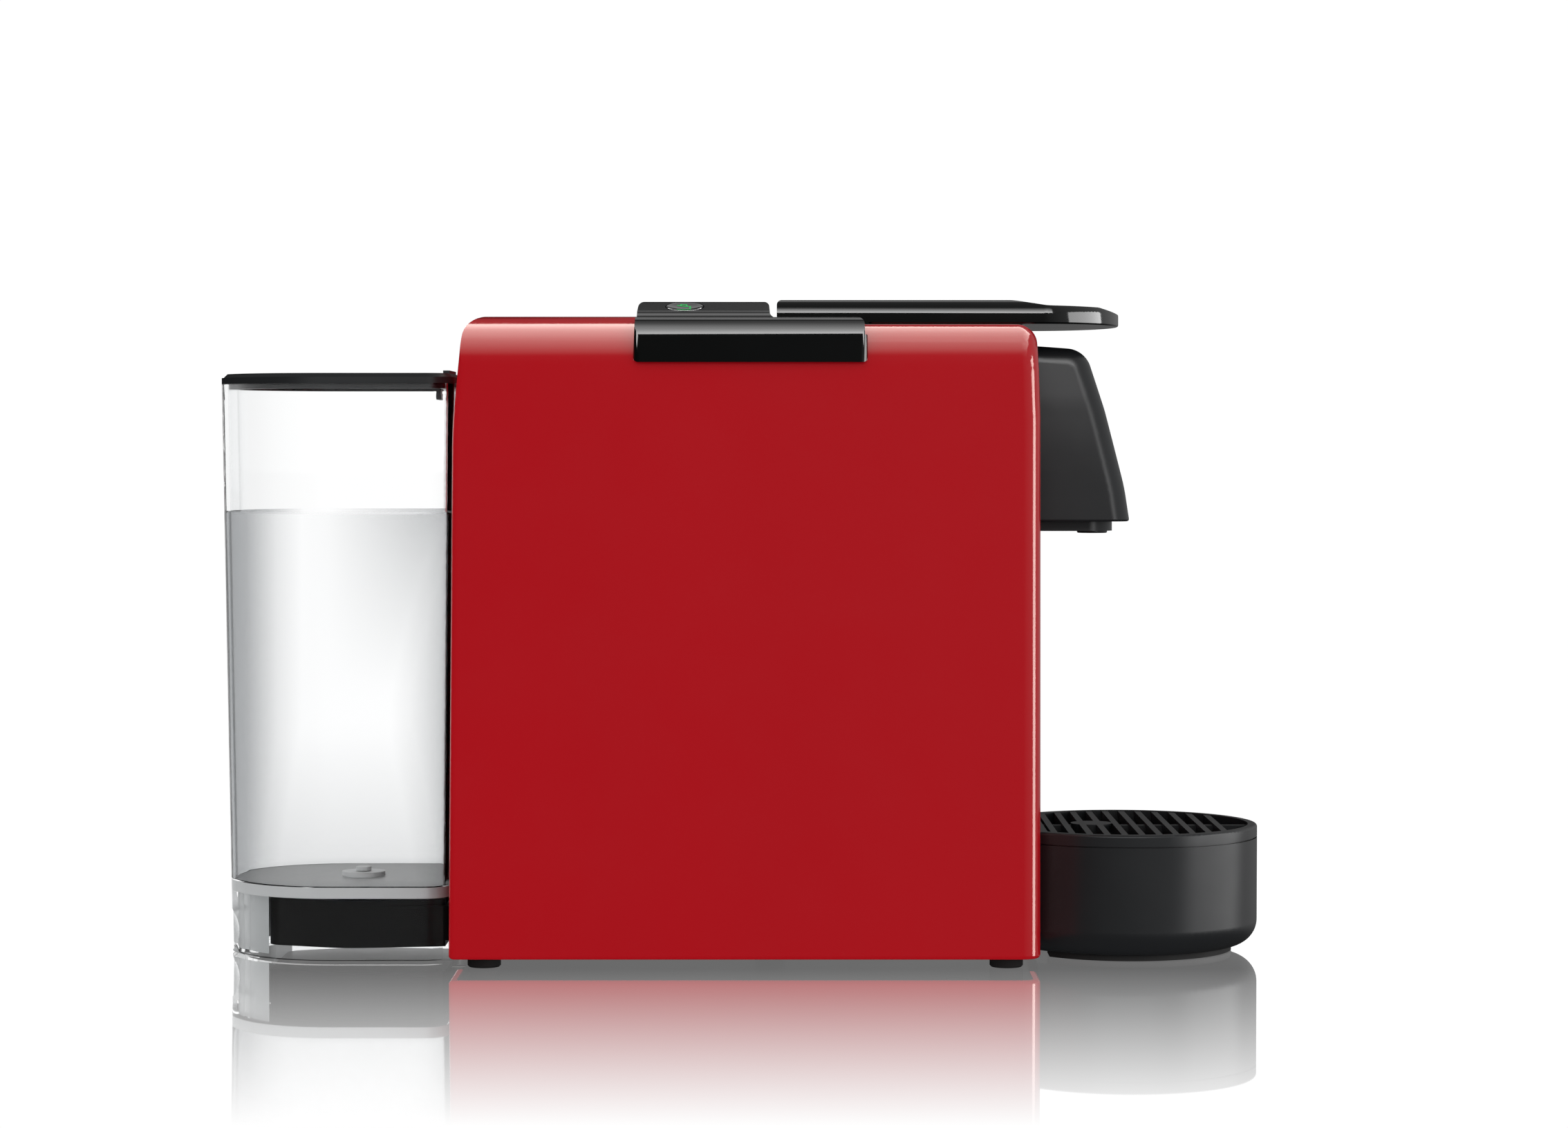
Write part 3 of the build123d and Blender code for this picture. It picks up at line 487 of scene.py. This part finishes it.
def add_tank_floor(materials):
    """Painted shade on the tank's clear floor, its thick pale edge, the valve face and the backing.
    """
    valve_low, valve_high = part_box("tank_valve")
    tank_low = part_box("water_tank")[0]
    dock_low, dock_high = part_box("tank_dock")
    height = valve_high[2] - 0.0012
    inner = evenly(level_loops("water_tank", height + 0.0004)[1], 96)
    face = [Vector((p.x, p.y, height)) for p in inner]
    centre = Vector((0.5 * (valve_low[0] + valve_high[0]), 0, height))
    # Painted shade: a grey sheet over the tank's floor, where the clear floor shows only shade.
    add_sheet("tank_floor_face", [shrink(face, centre, FLOOR_FACE_INSET)], True, materials["floor_shade"])
    valve_foot = circle(centre, VALVE_FACE_RADIUS, 48)
    valve_top = circle(centre + Vector((0, 0, VALVE_FACE_RISE)), VALVE_FACE_RADIUS, 48)
    add_sheet("tank_valve_face", [valve_foot, valve_top], True, materials["valve_face"])
    edge = [outline_at(z) for z in (dock_high[2] + 0.0012, height - 0.0001)]
    add_sheet("tank_floor_edge", edge, False, materials["floor_edge"])
    inside = shrink(edge[0], sum(edge[0], Vector()) / len(edge[0]), BACKING_INSET)
    backing = [
        [Vector((p.x, p.y, z)) for p in inside]
        for z in (tank_low[2] + 0.0008, dock_high[2] + 0.0011)
    ]
    add_sheet(
        "tank_backing", backing, False, materials["backing"], lambda p: p.x < dock_low[0] + 0.001)


def outline_at(height):
    """The tank's outer outline at one height, just inside its skin."""
    loop = evenly(level_loops("water_tank", height)[0], 360)
    middle = sum(loop, Vector()) / len(loop)
    return shrink(loop, middle, OUTLINE_INSET)


def shrink(loop, centre, amount):
    """The loop with each point moved towards the centre, level with the table."""
    flat = [Vector((p.x - centre.x, p.y - centre.y, 0)).normalized() for p in loop]
    return [p - amount * out for p, out in zip(loop, flat)]


def add_sheet(name, rings, closed, material, wanted=lambda point: True):
    """A thin skin through rings of points, capped on top when closed."""
    form = bmesh.new()
    rows = [[form.verts.new(point) for point in ring] for ring in rings]
    for lower, upper in zip(rows, rows[1:]):
        for i in range(len(lower)):
            if wanted(lower[i].co) and wanted(lower[i - 1].co):
                form.faces.new((lower[i - 1], lower[i], upper[i], upper[i - 1]))
    if closed:
        form.faces.new(rows[-1])
    loose = [vert for vert in form.verts if not vert.link_faces]
    bmesh.ops.delete(form, geom=loose, context="VERTS")
    mesh = bpy.data.meshes.new(name)
    form.to_mesh(mesh)
    form.free()
    for polygon in mesh.polygons:
        polygon.use_smooth = len(polygon.vertices) == 4
    add_piece(name, mesh, "tank", material)


def circle(centre, radius, count):
    """A level circle of evenly spaced points."""
    turns = [2 * math.pi * i / count for i in range(count)]
    return [centre + radius * Vector((math.cos(t), math.sin(t), 0)) for t in turns]


def add_cup_icon(button, body, materials):
    """A lit outline of a cup in the button's dish, its base towards the front."""
    node = frame["nodes"][button]
    form = bmesh.new()
    form.from_mesh(node.data)
    dish = BVHTree.FromBMesh(form)
    form.free()
    low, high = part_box(button)
    centre = Vector((0.5 * (low[0] + high[0]), 0.48 * (low[1] + high[1]), 0))
    cup = [(-0.0022, -0.0019), (0.0016, -0.0013), (0.0016, 0.0013), (-0.0022, 0.0019)]
    handle = [(-0.0013, 0.0018), (-0.0012, 0.0028), (0.0004, 0.0027), (0.0006, 0.0016)]
    form = bmesh.new()
    for line in (cup, handle):
        for first, second in zip(line, line[1:]):
            lay_ribbon(form, dish, centre, Vector(first), Vector(second), ICON_LINE)
    mesh = bpy.data.meshes.new(button + "_icon")
    form.to_mesh(mesh)
    form.free()
    add_piece(button + "_icon", mesh, body, materials["icon_green"])


def lay_ribbon(form, surface, centre, first, second, width):
    """A thin flat line from one point to another, laid just above a surface."""
    along = (second - first).normalized()
    side = 0.5 * width * Vector((-along.y, along.x))
    first, second = first - 0.5 * width * along, second + 0.5 * width * along
    steps = 4
    rows = []
    for i in range(steps + 1):
        middle = first.lerp(second, i / steps)
        row = []
        for point in (middle - side, middle + side):
            above = Vector((centre.x + point.x, centre.y + point.y, 1.0))
            hit = surface.ray_cast(above, Vector((0, 0, -1)))[0]
            row.append(form.verts.new(hit + Vector((0, 0, ICON_LIFT))))
        rows.append(row)
    for before, after in zip(rows, rows[1:]):
        form.faces.new((before[0], after[0], after[1], before[1]))


# ---------------------------------------------------------------- stage and light
def add_floor():
    """White floor whose polish fades away from the machine."""
    form = bmesh.new()
    bmesh.ops.create_grid(form, x_segments=24, y_segments=24, size=20.0)
    mesh = bpy.data.meshes.new("floor")
    form.to_mesh(mesh)
    form.free()
    floor = bpy.data.objects.new("floor", mesh)
    bpy.context.scene.collection.objects.link(floor)
    floor.location.z = -0.0002
    floor.visible_diffuse = False
    floor.visible_glossy = False
    material = bpy.data.materials.new("white_floor")
    material.use_nodes = True
    shader = Shader(material.node_tree)
    split = shader.add("ShaderNodeSeparateXYZ")
    shader.link(shader.position(), split.inputs[0])
    across, along = split.outputs["Y"], split.outputs["X"]
    away_y = shader.math("SUBTRACT", shader.math("ABSOLUTE", across), SHINE_HALF_Y)
    away_x = shader.math("SUBTRACT", shader.math("ABSOLUTE", along), SHINE_HALF_X)
    away = shader.math("MAXIMUM", shader.math("MAXIMUM", away_x, away_y), 0.0)
    cover = shader.remap(away, 0.60, 0.0, 0.0, SHINE_FADE)
    fade = shader.math(
        "SUBTRACT", 1.0, shader.math("POWER", shader.math("SUBTRACT", 1.0, cover), 2.2)
    )
    light = shader.add("ShaderNodeEmission")
    light.inputs["Color"].default_value = (1, 1, 1, 1)
    light.inputs["Strength"].default_value = PAPER_WHITE
    polish = shader.add("ShaderNodeBsdfGlossy")
    polish.inputs["Roughness"].default_value = 0.02
    polish.inputs["Color"].default_value = (1, 1, 1, 1)
    mixed = shader.add("ShaderNodeMixShader")
    shader.link(fade, mixed.inputs["Fac"])
    shader.link(light.outputs[0], mixed.inputs[1])
    shader.link(polish.outputs[0], mixed.inputs[2])
    output = shader.add("ShaderNodeOutputMaterial")
    shader.link(mixed.outputs[0], output.inputs["Surface"])
    material.cycles.emission_sampling = "NONE"
    floor.data.materials.append(material)
    return floor


def add_sky_dome(receivers):
    """A white sphere round the stage that only the floor, the tank and the water reflect."""
    form = bmesh.new()
    bmesh.ops.create_icosphere(form, subdivisions=4, radius=15.0)
    mesh = bpy.data.meshes.new("sky_dome")
    form.to_mesh(mesh)
    form.free()
    dome = bpy.data.objects.new("sky_dome", mesh)
    bpy.context.scene.collection.objects.link(dome)
    dome.visible_camera = False
    dome.visible_diffuse = False
    dome.visible_transmission = False
    dome.visible_shadow = False
    material = bpy.data.materials.new("sky_white")
    material.use_nodes = True
    shader = Shader(material.node_tree)
    light = shader.add("ShaderNodeEmission")
    light.inputs["Strength"].default_value = 1.0
    clear = shader.add("ShaderNodeBsdfTransparent")
    both = shader.add("ShaderNodeAddShader")
    shader.link(light.outputs[0], both.inputs[0])
    shader.link(clear.outputs[0], both.inputs[1])
    output = shader.add("ShaderNodeOutputMaterial")
    shader.link(both.outputs[0], output.inputs["Surface"])
    material.cycles.emission_sampling = "NONE"
    dome.data.materials.append(material)
    dome.light_linking.receiver_collection = group("dome_receivers", receivers)


def add_world():
    """White to the eye and through the tank, even for matt surfaces, dim in the gloss."""
    world = bpy.data.worlds.new("studio")
    bpy.context.scene.world = world
    world.use_nodes = True
    shader = Shader(world.node_tree)
    split = shader.add("ShaderNodeSeparateXYZ")
    shader.link(shader.add("ShaderNodeTexCoord").outputs["Generated"], split.inputs[0])
    to_front = shader.remap(split.outputs["X"], 0.02, 0.60, -0.1, 0.95)
    overhead = shader.remap(split.outputs["Z"], 0.0, 0.16, 0.25, 0.9)
    above = shader.remap(split.outputs["Z"], 0.10, 1.0, -0.35, -0.02)
    gloss = shader.math("MULTIPLY", shader.math("ADD", to_front, overhead), above)
    path = shader.add("ShaderNodeLightPath")
    strength = shader.math(
        "ADD",
        shader.math("MULTIPLY", path.outputs["Is Diffuse Ray"], 0.62),
        shader.math("MULTIPLY", path.outputs["Is Glossy Ray"], gloss),
    )
    seen = shader.math(
        "MAXIMUM", path.outputs["Is Camera Ray"], path.outputs["Is Transmission Ray"]
    )
    strength = shader.math("ADD", strength, shader.math("MULTIPLY", seen, PAPER_WHITE))
    background = shader.add("ShaderNodeBackground")
    background.inputs["Color"].default_value = (1, 1, 1, 1)
    shader.link(strength, background.inputs["Strength"])
    output = shader.add("ShaderNodeOutputWorld")
    shader.link(background.outputs[0], output.inputs["Surface"])


def group(name, members):
    """A collection for light linking: a light falls on its members and on nothing else."""
    collection = bpy.data.collections.new(name)
    for member in members:
        collection.objects.link(member)
    return collection


def add_softbox(
    name, place, aim, size, radiance, receivers, fade=None, matt=False, tint=(1, 1, 1)
):
    """An area light for some pieces; fade gives its gradient's axis, power and floor."""
    data = bpy.data.lights.new(name, "AREA")
    data.shape = "RECTANGLE"
    data.size, data.size_y = size
    data.energy = 4 * size[0] * size[1]
    data.use_nodes = True
    shader = Shader(data.node_tree)
    light = shader.add("ShaderNodeEmission")
    light.inputs["Color"].default_value = (*tint, 1)
    light.inputs["Strength"].default_value = radiance
    if fade:
        axis, power, least = fade
        split = shader.add("ShaderNodeSeparateXYZ")
        shader.link(shader.add("ShaderNodeNewGeometry").outputs["Parametric"], split.inputs[0])
        along = split.outputs["XY".index(axis[-1])]
        if axis.startswith("-"):
            along = shader.math("SUBTRACT", 1.0, along)
        level = shader.math("MAXIMUM", shader.math("POWER", along, power), least)
        shader.link(shader.math("MULTIPLY", level, radiance), light.inputs["Strength"])
    output = shader.add("ShaderNodeOutputLight")
    shader.link(light.outputs[0], output.inputs["Surface"])
    lamp = bpy.data.objects.new(name, data)
    bpy.context.scene.collection.objects.link(lamp)
    lamp.location = place
    aim_at = Vector(aim) - Vector(place)
    lamp.rotation_euler = aim_at.to_track_quat("-Z", "Y").to_euler()
    lamp.visible_camera = False
    lamp.visible_transmission = False
    lamp.visible_glossy = not matt
    lamp.visible_diffuse = matt
    lamp.light_linking.receiver_collection = group(name + "_receivers", receivers)


def add_lights():
    """A matt fill for every solid part, and softboxes for one group of parts each."""
    nodes = frame["nodes"]
    shell = [nodes["outer_shell"]]
    gloss = [nodes[name] for name in GLOSS_NODES]
    saddle = [nodes["saddle"]] + [nodes[name] for name in BUTTON_NODES]
    lever = [nodes["lever_cover"]]
    buttons = [nodes[name] for name in BUTTON_NODES]
    head = [nodes[name] for name in HEAD_NODES]
    tray = [nodes[name] for name in TRAY_NODES]
    solid = [node for name, node in nodes.items() if name not in CLEAR_NODES]
    middle = (0.0, 0.0, 0.12)
    add_softbox("front_fill", (0, -3, 0.9), middle, (3, 2.5), 0.45, solid, matt=True)
    add_softbox(
        "shell_top", (0, -0.8, 1.7), (0, -0.8, 0), (3.0, 3.2), 7.6, shell, ("Y", 1.6, 0.0),
        tint=WARM)
    add_softbox("shell_edge", (1.95, -0.45, 0.25), middle, (0.7, 1.4), 9.0, shell, tint=WARM)
    add_softbox(
        "gloss_front", (0, -1.25, 1.9), (0, -0.793, 1.012), (2.6, 3.94), 9.5, saddle,
        ("-Y", 1.6, 0.05))
    add_softbox("lever_front", (0, -3, 2.3), (0, 0, 2.3), (2.6, 3.1), 9.0, lever, ("-Y", 1.5, 0.12))
    add_softbox("gloss_top", (0, 1.6, 1.9), (0, 0.2, 0.2), (2.6, 1.4), 0.5, gloss)
    add_softbox("gloss_side", (2.2, -0.2, 0.25), middle, (2.6, 1.2), 5.0, gloss)
    add_softbox("button_back", (0, 3, 0.7), (0, 0, 0.2), (2.0, 1.0), 4.0, buttons)
    add_softbox("head_front", (0, -3, 2.6), (0, 0, 2.6), (3.0, 2.4), 6.5, head, ("-Y", 1.0, 0.2))
    add_softbox("head_side", (1.5, -2.6, 0.3), middle, (0.7, 1.2), 3.0, head)
    add_softbox("tray_front", (0, -3, 2.0), (0, 0, 2.0), (3.0, 2.6), 2.2, tray, ("-Y", 1.0, 0.3))
    add_softbox("tray_side", (2.4, -0.4, 0.25), middle, (2.6, 1.2), 2.0, tray)


def main():
    scene = bpy.context.scene
    scene.view_settings.view_transform = "Standard"
    add_camera()
    add_world()
    materials = make_materials()
    paint_nodes(materials)
    water = add_water(materials)
    add_tank_floor(materials)
    add_cup_icon("espresso_button", "espresso_key", materials)
    add_cup_icon("lungo_button", "lungo_key", materials)
    floor = add_floor()
    add_sky_dome([floor, water, frame["nodes"]["water_tank"]])
    add_lights()


main()
